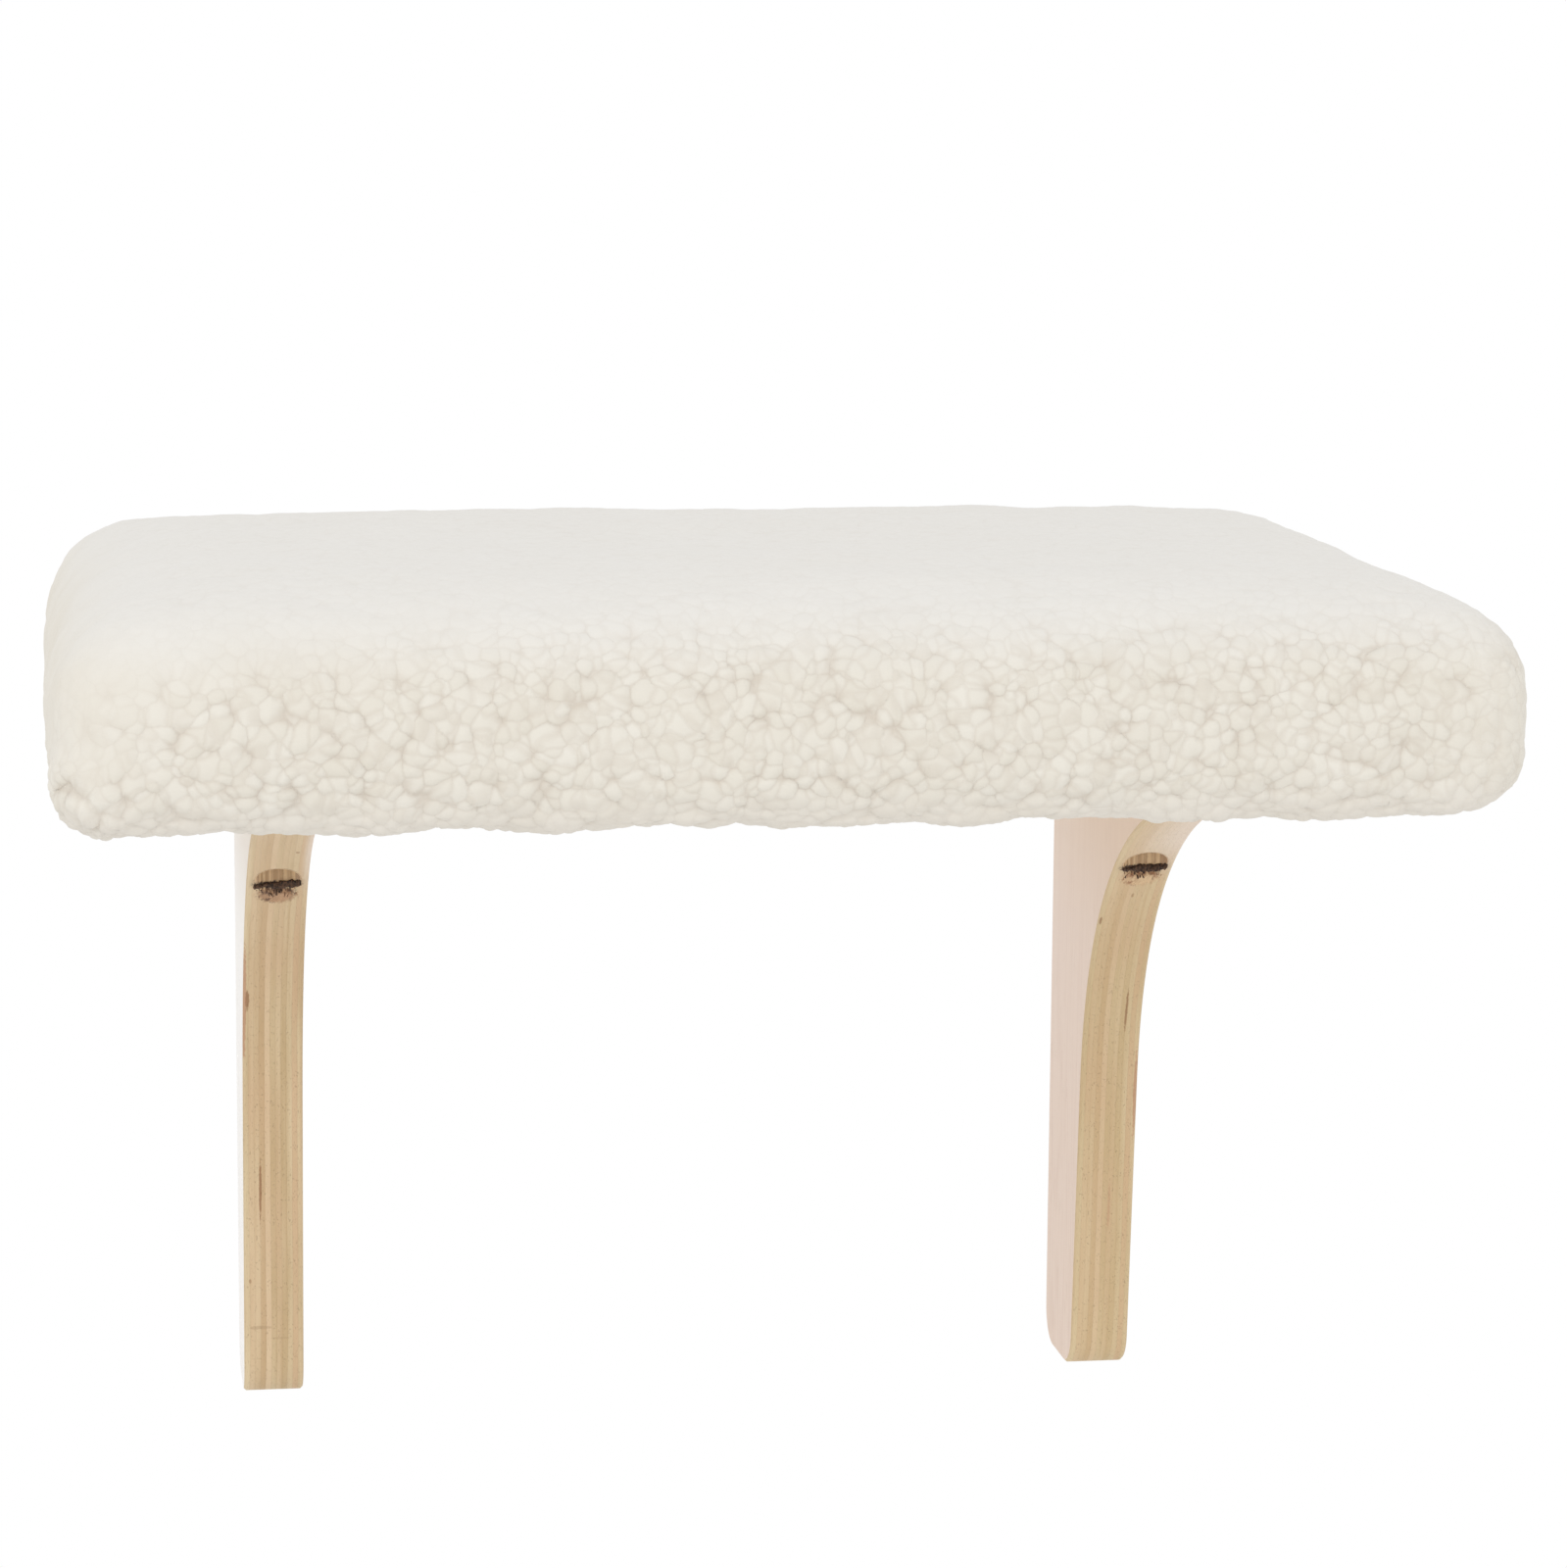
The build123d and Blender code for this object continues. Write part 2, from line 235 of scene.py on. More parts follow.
stain, given = new_group(
    "stain",
    [("Place", "Vector"), ("Middle", "Vector"), ("Reach", "Vector"), ("Ragged", "Float")],
    [("Mask", "Float")],
)
away = vector_calc(stain, "SUBTRACT", given["Place"], given["Middle"])
away = vector_calc(stain, "DIVIDE", away, given["Reach"])
away = add_node(stain, "ShaderNodeVectorMath", {0: away}, operation="LENGTH").outputs["Value"]
ragged = calc(stain, "SUBTRACT", stretched_noise(stain, given["Place"], (1, 1, 0.5), 1100, 2), 0.5)
away = calc(stain, "MULTIPLY_ADD", ragged, given["Ragged"], away)
add_node(stain, "NodeGroupOutput", {"Mask": ease(stain, away, 0.7, 1.05, start=1.0, end=0.0)})


def new_material(name):
    """A material with its tree, its one shader and the place on the piece that is shaded."""
    made = bpy.data.materials.new(name)
    made.use_nodes = True
    tree = made.node_tree
    place = add_node(tree, "ShaderNodeTexCoord").outputs["Object"]
    return made, tree, tree.nodes["Principled BSDF"], place


def bump(tree, shader, height, distance, strength=1.0):
    """Fine relief that only the light sees."""
    relief = add_node(tree, "ShaderNodeBump", {"Height": height, "Distance": distance, "Strength": strength})
    tree.links.new(relief.outputs[0], shader.inputs["Normal"])


def dress(names, material):
    """Gives solids of the frame their material."""
    for name in names:
        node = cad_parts[name]
        if not node.material_slots:
            node.data.materials.append(material)
        for held in node.material_slots:
            held.material = material


def plywood(name, middle, thickness, axis, plies, grain_turn, edge_colours, face_colours):
    """Plywood whose plies are stacked along one axis, X for a bracket and Z for the board."""
    made, tree, shader, place = new_material(name)
    centred = vector_calc(tree, "SUBTRACT", place, middle)
    turn = {"Vector": centred, "Rotation": grain_turn}
    turned = add_node(tree, "ShaderNodeVectorRotate", turn, rotation_type="EULER_XYZ").outputs[0]
    across = calc(tree, "MULTIPLY_ADD", split(tree, turned)["X"], 1 / thickness, 0.5)
    light, dark, warm = edge_colours
    inputs = {"Place": turned, "Across": across, "Plies": plies, "Light": light, "Dark": dark, "Warm": warm}
    edge = place_group(tree, sawn_plies, inputs)
    light, dark = face_colours
    face = place_group(tree, face_veneer, {"Place": turned, "Light": light, "Dark": dark})
    outward = add_node(tree, "ShaderNodeNewGeometry").outputs["Normal"]
    facing = calc(tree, "ABSOLUTE", split(tree, outward)[axis])
    on_face = ease(tree, facing, 0.74, 0.93)
    colour = mix(tree, on_face, edge["Color"], face["Color"])
    height = calc(tree, "SUBTRACT", face["Height"], edge["Height"])
    height = calc(tree, "MULTIPLY_ADD", on_face, height, edge["Height"])
    tree.links.new(calc(tree, "MULTIPLY_ADD", edge["Height"], 0.08, 0.62), shader.inputs["Roughness"])
    bump(tree, shader, height, 0.0002)
    return made, tree, shader, centred, colour, on_face


# Seat board: one sheet of plywood with rounded corners, which carries the pad and is drilled for
# the tee nuts. Only its underside shows, inside the hem.
board_low, board_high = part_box("deck_board")
board_stuff, tree, shader, _, colour, _ = plywood(
    "board_birch",
    middle=(board_low + board_high) / 2,
    thickness=board_high.z - board_low.z,
    axis="Z",
    plies=9,
    grain_turn=(0, math.radians(90), 0),
    edge_colours=(paint(220, 198, 162), paint(192, 162, 120), paint(204, 170, 132)),
    face_colours=(paint(228, 208, 180), paint(210, 184, 152)),
)
tree.links.new(colour, shader.inputs["Base Color"])
dress(["deck_board"], board_stuff)


# Brackets: each is sawn from one plank of thick plywood and sanded. The drill has scorched and torn
# the lower lip of the rear counterbore, and the plies have a few brown streaks and knots.
bore_depth = 0.127
bore_radius = 0.00925
scorch_level = -0.0272
scorch_slope = 0.17
scorch_behind = 0.0025
char_behind = 0.004
torn_behind = 0.008
torn_drop = 0.0046
inner_drop = 0.0056
scorch_middle = (-0.0002, char_behind - bore_depth, scorch_level)
scorch_reach = (0.0104, 0.0110, 0.0021)
torn_middle = (0.0002, torn_behind - bore_depth, scorch_level - torn_drop)
torn_reach = (0.0092, 0.0110, 0.0046)
inner_middle = (0.0016, torn_behind - bore_depth, scorch_level - inner_drop)
inner_reach = (0.0052, 0.0110, 0.0034)
edge_tones = {
    "left": (paint(233, 214, 178), paint(190, 163, 120), paint(212, 179, 143)),
    "right": (paint(226, 206, 168), paint(201, 175, 131), paint(213, 180, 142)),
}
# Painted light: the left bracket's faces are painted near white, as lit from the left, and the right
# bracket's faces darker and pinker, as in shade.
face_tones_lit_and_shaded = {
    "left": (paint(254, 252, 249), paint(250, 245, 240)),
    "right": (paint(238, 218, 203), paint(226, 202, 186)),
}
# Painted light: tones towards which each bracket's faces are painted paler near the top, by the seat.
top_light_tones = {"left": paint(253, 250, 246), "right": paint(250, 233, 222)}

# Painted highlight: the sawn edge of each arm pales towards the seat, from one place along X to another, by
# a share.
arm_highlights = {"left": (0.0085, 0.0122, 0.8), "right": (-0.016, 0.012, 0.85)}

# Torn fibre has a pale tone, a dark tone and the share of them that shows.
torn_tones = {
    "left": (paint(198, 156, 120), paint(84, 54, 38), 0.95),
    "right": (paint(228, 196, 154), paint(150, 96, 62), 0.85),
}

# Streaks, knots and scratches on the sawn edge. Each has its place along X, its level, its half
# width and half height, its strength and its colour.
streak_brown = paint(146, 98, 62)
arris_red = paint(186, 134, 104)
cross_tan = paint(170, 142, 108)
fleck_brown = paint(138, 76, 44)
any_depth = 10
bracket_marks = {
    "left": [
        (-0.0055, -0.171, 0.0006, 0.0155, 0.75, streak_brown),
        (-0.0110, -0.085, 0.0010, 0.0050, 0.75, streak_brown),
        (-0.0122, -0.086, 0.0009, 0.0300, 0.70, arris_red),
        (-0.0060, -0.233, 0.0055, 0.0009, 0.40, cross_tan),
        (0.0030, -0.238, 0.0045, 0.0006, 0.30, cross_tan),
        (0.0070, -0.009, 0.0011, 0.0005, 0.60, streak_brown),
        (-0.0100, -0.212, 0.0006, 0.0012, 0.50, streak_brown),
    ],
    "right": [
        (0.0057, -0.099, 0.0006, 0.0115, 0.65, streak_brown),
        (0.0118, -0.138, 0.0010, 0.0210, 0.65, arris_red),
        (-0.0116, -0.055, 0.0006, 0.0022, 0.65, streak_brown),
        (-0.0005, -0.042, 0.0006, 0.0012, 0.50, streak_brown),
        (0.0020, -0.190, 0.0006, 0.0110, 0.35, arris_red),
        (-0.0012, -0.0335, 0.0008, 0.0017, 0.80, fleck_brown),
    ],
}
for side in ("left", "right"):
    low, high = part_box("bracket_" + side)
    bracket_stuff, tree, shader, centred, colour, on_face = plywood(
        "bracket_birch_" + side,
        middle=((low.x + high.x) / 2, 0, 0),
        thickness=high.x - low.x,
        axis="X",
        plies=11,
        grain_turn=(0, 0, 0),
        edge_colours=edge_tones[side],
        face_colours=face_tones_lit_and_shaded[side],
    )
    steps = split(tree, centred)
    on_edge = calc(tree, "SUBTRACT", 1.0, on_face)
    # Painted highlight: a pale pinkish streak is painted on the top of each arm's sawn edge, near the seat.
    highlight_from, highlight_to, highlight_share = arm_highlights[side]
    sideways = ease(tree, steps["X"], highlight_from, highlight_to)
    risen = ease(tree, steps["Z"], -0.036, -0.008)
    painted_highlight = calc(tree, "MULTIPLY", calc(tree, "MULTIPLY", sideways, risen), highlight_share)
    colour = mix(tree, calc(tree, "MULTIPLY", painted_highlight, on_edge), colour, paint(240, 226, 216))
    # Painted light: the faces are painted paler towards the top, and the whole bracket a little paler near
    # the seat as a painted reflection.
    painted_top_light = calc(tree, "MULTIPLY", ease(tree, steps["Z"], -0.22, -0.06, end=0.5), on_face)
    colour = mix(tree, painted_top_light, colour, top_light_tones[side])
    reflected = ease(tree, steps["Z"], -0.075, 0.0, end=0.25)
    colour = mix(tree, reflected, colour, paint(236, 212, 178))

    # Inside the bore the drill has laid the plies bare, so their stripes are stronger.
    from_axis = vector_calc(tree, "SUBTRACT", centred, (0, -bore_depth, 0))
    from_axis = vector_calc(tree, "MULTIPLY", from_axis, (1, 1, 0))
    from_axis = add_node(tree, "ShaderNodeVectorMath", {0: from_axis}, operation="LENGTH").outputs["Value"]
    bored = ease(tree, from_axis, bore_radius + 0.0001, bore_radius + 0.0003, start=1.0, end=0.0)
    bare_plies = ease(tree, stretched_noise(tree, centred, (1, 0, 0.02), 620, 2), 0.40, 0.60)
    bore_tone = mix(tree, bare_plies, paint(252, 220, 174), paint(200, 164, 124))
    colour = mix(tree, calc(tree, "MULTIPLY", bored, 0.85), colour, bore_tone)
    lip_noise = stretched_noise(tree, centred, (1, 1, 1), 900, 2)
    lip_reach = calc(tree, "MULTIPLY_ADD", lip_noise, -0.0014, from_axis)
    lip_mask = ease(tree, lip_reach, 0.0086, 0.0093, start=1.0, end=0.0)
    lip_mask = calc(tree, "MULTIPLY", lip_mask, calc(tree, "SUBTRACT", 1.0, bored))
    colour = mix(tree, calc(tree, "MULTIPLY", lip_mask, 0.6), colour, paint(112, 82, 58))
    for along, level, half_width, half_height, depth, tone in bracket_marks[side]:
        middle = (along, -bore_depth, level)
        reach = (half_width, any_depth, half_height)
        mark_place = {"Place": centred, "Middle": middle, "Reach": reach, "Ragged": 0.9}
        mark = place_group(tree, stain, mark_place)
        mask = calc(tree, "MULTIPLY", calc(tree, "MULTIPLY", mark["Mask"], on_edge), depth)
        colour = mix(tree, mask, colour, tone)

    # The scorched band slopes down as the wall of the bore recedes. It has its stated level on a
    # line just behind the axis of the bore.
    recede = calc(tree, "MULTIPLY", calc(tree, "ADD", steps["Y"], bore_depth - scorch_behind), scorch_slope)
    level = calc(tree, "ADD", steps["Z"], recede)
    level_place = add_node(tree, "ShaderNodeCombineXYZ", {0: steps["X"], 1: steps["Y"], 2: level}).outputs[0]
    pale_fibre, dark_fibre, torn_share = torn_tones[side]
    torn_place = {"Place": level_place, "Middle": torn_middle, "Reach": torn_reach, "Ragged": 0.8}
    torn = place_group(tree, stain, torn_place)
    inner_place = {"Place": level_place, "Middle": inner_middle, "Reach": inner_reach, "Ragged": 1.3}
    inner = place_group(tree, stain, inner_place)
    tears = ease(tree, stretched_noise(tree, centred, (1, 0.6, 0.3), 560, 3), 0.42, 0.60)
    darkened = calc(tree, "MULTIPLY_ADD", inner["Mask"], -0.75, 1.0)
    darkened = calc(tree, "MULTIPLY", darkened, calc(tree, "MULTIPLY_ADD", tears, 0.7, 0.3))
    torn_tone = mix(tree, darkened, pale_fibre, dark_fibre)
    colour = mix(tree, calc(tree, "MULTIPLY", torn["Mask"], torn_share), colour, torn_tone)
    scorch_place = {"Place": level_place, "Middle": scorch_middle, "Reach": scorch_reach, "Ragged": 1.0}
    scorch = place_group(tree, stain, scorch_place)
    colour = mix(tree, calc(tree, "MULTIPLY", scorch["Mask"], 0.95), colour, paint(56, 42, 36))
    tree.links.new(colour, shader.inputs["Base Color"])
    dress(["bracket_" + side], bracket_stuff)


# Torn lips of the counterbores: a charred ridge of crushed fibre along the bore wall, with short
# splinters below it. They are birch, left by the drill where it broke out on the sawn curve.
def apply_modifier(piece, kind, **settings):
    """Adds a modifier to a piece and makes its result the mesh."""
    bpy.ops.object.select_all(action="DESELECT")
    piece.select_set(True)
    bpy.context.view_layer.objects.active = piece
    modifier = piece.modifiers.new(kind.lower(), kind)
    for name, value in settings.items():
        setattr(modifier, name, value)
    bpy.ops.object.modifier_apply(modifier=modifier.name)


def settle(piece):
    """Puts a piece's place, turn and size into its mesh."""
    bpy.ops.object.select_all(action="DESELECT")
    piece.select_set(True)
    bpy.context.view_layer.objects.active = piece
    bpy.ops.object.transform_apply(location=True, rotation=True, scale=True)


char_lumps = bpy.data.textures.new("char_lumps", "CLOUDS")
char_lumps.noise_scale = 0.0021
char_stuff, tree, shader, place = new_material("scorched_fibre")
soot = stretched_noise(tree, place, (1, 1, 0.4), 1400, 3)
burnt = mix(tree, ease(tree, soot, 0.35, 0.65), paint(46, 35, 31), paint(104, 78, 60))
tree.links.new(burnt, shader.inputs["Base Color"])
shader.inputs["Roughness"].default_value = 0.9
bump(tree, shader, soot, 0.0003)
splinter_stuff, tree, shader, place = new_material("torn_fibre")
grain = stretched_noise(tree, place, (1, 1, 0.2), 1600, 2)
pale = mix(tree, ease(tree, grain, 0.35, 0.7), paint(200, 162, 130), paint(112, 78, 54))
tree.links.new(pale, shader.inputs["Base Color"])
shader.inputs["Roughness"].default_value = 0.85
bump(tree, shader, grain, 0.0002)

ridge_half = 0.0018
ridge_depth_share = 0.55
ridge_tilt = 0.0007
ridge_overlap = 0.0004
ridge_sunk = 0.0003
char_relief = 0.0022
splinter_count = 26
splinter_spread_share = 0.93
splinter_sunk = 0.0001
splinter_lengths = (0.0012, 0.0034)
splinter_drops = (0.0012, 0.0044)
splinter_radii = (0.00022, 0.0005)
splinter_tip = 0.00004
splinter_lean = 0.35
splinter_turn = 0.6
charred_share = 0.35
for side, seed in (("left", 4), ("right", 11)):
    low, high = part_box("bracket_" + side)
    middle = (low.x + high.x) / 2
    random.seed(seed)
    bpy.ops.object.select_all(action="DESELECT")
    bpy.ops.mesh.primitive_uv_sphere_add(segments=28, ring_count=40, radius=1)
    ridge = bpy.context.object
    ridge.rotation_euler = (0, math.pi / 2, 0)
    settle(ridge)
    for vertex in ridge.data.vertices:
        along = math.sin(vertex.co.x * math.pi / 2) * (bore_radius + ridge_overlap)
        wall = math.sqrt(max(bore_radius**2 - along**2, 0)) - ridge_sunk
        rise = ridge_tilt * vertex.co.x - scorch_slope * (wall - scorch_behind)
        plump = 0.75 + 0.25 * math.cos(3.1 * vertex.co.x + seed)
        vertex.co = (
            middle + along,
            -bore_depth + wall + vertex.co.y * ridge_half * ridge_depth_share,
            scorch_level + rise + vertex.co.z * ridge_half * plump,
        )
    apply_modifier(
        ridge,
        "DISPLACE",
        texture=char_lumps,
        texture_coords="LOCAL",
        strength=char_relief,
        mid_level=0.5,
    )
    ridge.data.materials.append(char_stuff)
    ridge.data.materials.append(splinter_stuff)
    parts = [ridge]
    for number in range(splinter_count):
        along = bore_radius * splinter_spread_share * (2 * (number + random.random()) / splinter_count - 1)
        wall = math.sqrt(max(bore_radius**2 - along**2, 0)) - splinter_sunk
        length = random.uniform(*splinter_lengths) * (1 - 0.5 * abs(along) / bore_radius)
        level = scorch_level - scorch_slope * (wall - scorch_behind) - random.uniform(*splinter_drops)
        bpy.ops.mesh.primitive_cone_add(
            vertices=5,
            radius1=random.uniform(*splinter_radii),
            radius2=splinter_tip,
            depth=length,
            location=(middle + along, -bore_depth + wall, level),
            rotation=(
                random.uniform(-splinter_lean, splinter_lean),
                random.uniform(-splinter_turn, splinter_turn) + math.pi * random.randint(0, 1),
                0,
            ),
        )
        splinter = bpy.context.object
        settle(splinter)
        splinter.data.materials.append(char_stuff if random.random() < charred_share else splinter_stuff)
        parts.append(splinter)
    bpy.ops.object.select_all(action="DESELECT")
    for part in parts:
        part.select_set(True)
    bpy.context.view_layer.objects.active = ridge
    bpy.ops.object.join()
    lip = bpy.context.object
    lip.name = "torn_lip_" + side
    bpy.ops.object.shade_smooth()
    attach(lip, "root")


# Bolts, washers and tee nuts: steel with bright zinc on it, a little mottled by the bath. Each bolt
# goes up from its counterbore, through a washer and the arm, into a tee nut set in the board.
zinc, tree, shader, place = new_material("bright_zinc")
clouds = stretched_noise(tree, place, (1, 1, 1), 300, 3)
spangle = add_node(tree, "ShaderNodeTexVoronoi", {"Vector": place, "Scale": 900}).outputs["Color"]
tint = mix(tree, clouds, paint(206, 208, 210), paint(176, 178, 182))
tree.links.new(mix(tree, 0.12, tint, spangle, "OVERLAY"), shader.inputs["Base Color"])
tree.links.new(ease(tree, clouds, 0.3, 0.7, start=0.26, end=0.42), shader.inputs["Roughness"])
shader.inputs["Metallic"].default_value = 1
bump(tree, shader, clouds, 0.00005)
dress([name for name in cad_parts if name.split("_")[0] in ("bolt", "washer", "tee")], zinc)


# Foam pad: a slab of open-cell upholstery foam with a rounded top, glued over the board. Its lip
# laps down over the board's edges. The cover hides it.
def rounded_block(name, low, high, corner, levels):
    """A form raised from its underside. A level is an inset from the widest outline and a height."""
    bpy.ops.object.select_all(action="DESELECT")
    middle = (low + high) / 2
    width, depth = high.x - low.x, high.y - low.y
    inset, height = levels[0]
    bpy.ops.mesh.primitive_plane_add(size=1, location=(middle.x, middle.y, height))
    block = bpy.context.object
    block.name = name
    block.scale = (width - 2 * inset, depth - 2 * inset, 1)
    bpy.ops.object.transform_apply(location=True, rotation=False, scale=True)
    bpy.ops.object.mode_set(mode="EDIT")
    bpy.ops.mesh.bevel(offset=corner, segments=6, affect="VERTICES")
    for new_inset, new_height in levels[1:]:
        bpy.ops.mesh.extrude_region_move(TRANSFORM_OT_translate={"value": (0, 0, new_height - height)})
        shrink = (
            (width - 2 * new_inset) / (width - 2 * inset),
            (depth - 2 * new_inset) / (depth - 2 * inset),
            1,
        )
        bpy.ops.transform.resize(value=shrink, center_override=(middle.x, middle.y, new_height))
        inset, height = new_inset, new_height
    bpy.ops.mesh.select_all(action="SELECT")
    bpy.ops.mesh.normals_make_consistent(inside=False)
    bpy.ops.object.mode_set(mode="OBJECT")
    return block


def roll_levels(bottom, top, under_radius, over_radius, crown, depth):
    """Levels of a padded edge: it rolls out from the underside, rises and rolls over to a crown."""
    levels = []
    for turn in (90, 65, 40, 18, 0):
        angle = math.radians(turn)
        levels.append((under_radius * (1 - math.cos(angle)), bottom + under_radius * (1 - math.sin(angle))))
    shoulder = top - crown - over_radius
    for turn in (0, 18, 36, 54, 70, 84):
        angle = math.radians(turn)
        levels.append((over_radius * (1 - math.cos(angle)), shoulder + over_radius * math.sin(angle)))
    levels.append((0.19 * depth, top - 0.3 * crown))
    levels.append((0.32 * depth, top))
    return levels


foam_low, foam_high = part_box("foam_pad")
foam = rounded_block(
    "foam_slab",
    foam_low,
    foam_high,
    corner=0.013,
    levels=roll_levels(
        foam_low.z,
        foam_high.z,
        under_radius=0.016,
        over_radius=0.039,
        crown=0.004,
        depth=foam_high.y - foam_low.y,
    ),
)

board_room = 0.0005
bpy.ops.mesh.primitive_cube_add(size=1, location=((board_low + board_high) / 2))
cutter = bpy.context.object
cutter.scale = (board_high - board_low) + Vector((2, 2, 2)) * board_room
bpy.ops.object.transform_apply(location=True, rotation=False, scale=True)
apply_modifier(foam, "BOOLEAN", object=cutter, operation="DIFFERENCE")
bpy.data.objects.remove(cutter)
foam_stuff, tree, shader, place = new_material("open_cell_foam")
cells = {"Vector": place, "Scale": 700}
cells = add_node(tree, "ShaderNodeTexVoronoi", cells, feature="DISTANCE_TO_EDGE").outputs[0]
foam_tone = mix(tree, ease(tree, cells, 0.0, 0.3), paint(240, 232, 202), paint(214, 200, 160))
tree.links.new(foam_tone, shader.inputs["Base Color"])
shader.inputs["Roughness"].default_value = 0.95
bump(tree, shader, cells, 0.0004)
foam.data.materials.append(foam_stuff)
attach(foam, "root")
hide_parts("foam_pad")


# Fleece cover: curly cream pile on a knitted back, drawn tight over the pad and turned under the
# board, where its hem is stapled. It is cut away round the two legs.
cover_low, cover_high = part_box("fleece_cover")
cover_depth = cover_high.y - cover_low.y
side_swell = 0.0012
top_swell = 0.0026
swell_cap = 0.0045
end_shift = 0.0012
wall_room = 0.0020
hem_fold = 0.004
cloth_frames = 20
slack_pin = 0.12

# It starts smaller than its space, by what it swells. Both ends are shifted a little to the right,
# and the back keeps a little room from the wall.
rest_low = cover_low + Vector((side_swell + end_shift, side_swell, 0))
rest_high = cover_high - Vector((side_swell - end_shift, side_swell + wall_room, top_swell))
cover = rounded_block(
    "fleece_wrap",
    rest_low,
    rest_high,
    corner=0.021,
    levels=roll_levels(
        rest_low.z,
        rest_high.z,
        under_radius=0.019,
        over_radius=0.036,
        crown=0.003,
        depth=cover_depth,
    ),
)
apply_modifier(cover, "REMESH", mode="VOXEL", voxel_size=0.006)


def places_of(piece):
    """The places of a mesh's points, one row for each."""
    flat = np.zeros(3 * len(piece.data.vertices))
    piece.data.vertices.foreach_get("co", flat)
    return flat.reshape(-1, 3)


start = places_of(cover)
on_hem = start[:, 2] < rest_low.z + hem_fold
pins = cover.vertex_groups.new(name="pins")
pins.add([int(i) for i in np.flatnonzero(~on_hem)], slack_pin, "REPLACE")
pins.add([int(i) for i in np.flatnonzero(on_hem)], 1.0, "REPLACE")
cloth = cover.modifiers.new("cloth", "CLOTH")
cloth.settings.quality = 6
cloth.settings.mass = 0.4
cloth.settings.tension_stiffness = 20
cloth.settings.compression_stiffness = 20
cloth.settings.bending_stiffness = 2
cloth.settings.use_pressure = True
cloth.settings.uniform_pressure_force = 12
cloth.settings.effector_weights.gravity = 0
cloth.settings.vertex_group_mass = "pins"
cloth.point_cache.frame_start = 1
cloth.point_cache.frame_end = cloth_frames
for frame_number in range(1, cloth_frames + 1):
    bpy.context.scene.frame_set(frame_number)
bpy.ops.object.modifier_apply(modifier=cloth.name)
bpy.context.scene.frame_set(1)
moved = places_of(cover) - start
reach = np.linalg.norm(moved, axis=1, keepdims=True)
moved *= np.minimum(1, swell_cap / np.maximum(reach, 1e-9))
cover.data.vertices.foreach_set("co", (start + moved).ravel())
cover.data.update()

hem_width = 0.036
hem_thickness = 0.0077
leg_room = 0.0005
hole_low = Vector((board_low.x + hem_width, board_low.y + hem_width))
hole_high = Vector((board_high.x - hem_width, board_high.y - hem_width))
leg_sides = []
for side in ("left", "right"):
    low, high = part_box("bracket_" + side)
    leg_sides.append((low.x - leg_room, high.x + leg_room))


def split_along(piece, below, behind, cuts):
    """Cuts new edges across what lies below a height and behind a depth, along planes square to axes."""
    for axis, place in cuts:
        for face in piece.data.polygons:
            face.select = face.center.z < below and face.center.y > behind
        bpy.ops.object.mode_set(mode="EDIT")
        point, normal = [0, 0, 0], [0, 0, 0]
        point[axis], normal[axis] = place, 1
        bpy.ops.mesh.bisect(plane_co=point, plane_no=normal)
        bpy.ops.mesh.select_all(action="DESELECT")
        bpy.ops.object.mode_set(mode="OBJECT")


bpy.context.view_layer.objects.active = cover
bpy.ops.object.mode_set(mode="EDIT")
bpy.ops.mesh.select_all(action="DESELECT")
bpy.ops.object.mode_set(mode="OBJECT")
board_face = board_low.z
leg_cuts = [(0, x) for pair in leg_sides for x in pair]
hole_cuts = [(0, hole_low.x), (0, hole_high.x), (1, hole_low.y), (1, hole_high.y)]
split_along(cover, cover_low.z + hem_fold, cover_low.y, hole_cuts)
split_along(cover, board_face + 2 * hem_fold, hole_high.y - hem_fold, leg_cuts + [(2, board_face)])
for face in cover.data.polygons:
    spot = face.center
    under = spot.z < cover_low.z + hem_fold
    in_hole = under and hole_low.x < spot.x < hole_high.x and hole_low.y < spot.y < hole_high.y
    beside_leg = any(a < spot.x < b for a, b in leg_sides)
    in_notch = spot.z < board_face and spot.y > hole_high.y and beside_leg
    face.select = in_hole or in_notch
bpy.ops.object.mode_set(mode="EDIT")
bpy.ops.mesh.delete(type="FACE")
bpy.ops.object.mode_set(mode="OBJECT")

cover.vertex_groups.new(name="lining")
apply_modifier(
    cover,
    "SOLIDIFY",
    thickness=hem_thickness,
    offset=-1,
    shell_vertex_group="lining",
    use_quality_normals=True,
)
lining = cover.vertex_groups["lining"].index
lined = {v.index for v in cover.data.vertices for g in v.groups if g.group == lining and g.weight > 0.5}
for face in cover.data.polygons:
    face.select = not any(v in lined for v in face.vertices)
bpy.ops.object.mode_set(mode="EDIT")
bpy.ops.mesh.subdivide(number_cuts=3)
bpy.ops.object.mode_set(mode="OBJECT")

pile = bpy.data.node_groups.new("curly_pile", "GeometryNodeTree")
pile.interface.new_socket("Geometry", in_out="INPUT", socket_type="NodeSocketGeometry")
pile.interface.new_socket("Geometry", in_out="OUTPUT", socket_type="NodeSocketGeometry")
skin = pile.nodes.new("NodeGroupInput").outputs[0]
spot = add_node(pile, "GeometryNodeInputPosition").outputs[0]


def wander(tree, vector, scale, amount):
    """Moves a place about a little, so that what is drawn there loses its straight lines."""
    inputs = {"Vector": vector, "Scale": scale, "Detail": 1.0}
    drift = add_node(tree, "ShaderNodeTexNoise", inputs).outputs[1]
    drift = vector_calc(tree, "SUBTRACT", drift, (0.5, 0.5, 0.5))
    drift = vector_calc(tree, "MULTIPLY", drift, (amount, amount, amount))
    return vector_calc(tree, "ADD", vector, drift)


wide_scale = 122
slim_scale = 160
lump_reach = 0.80


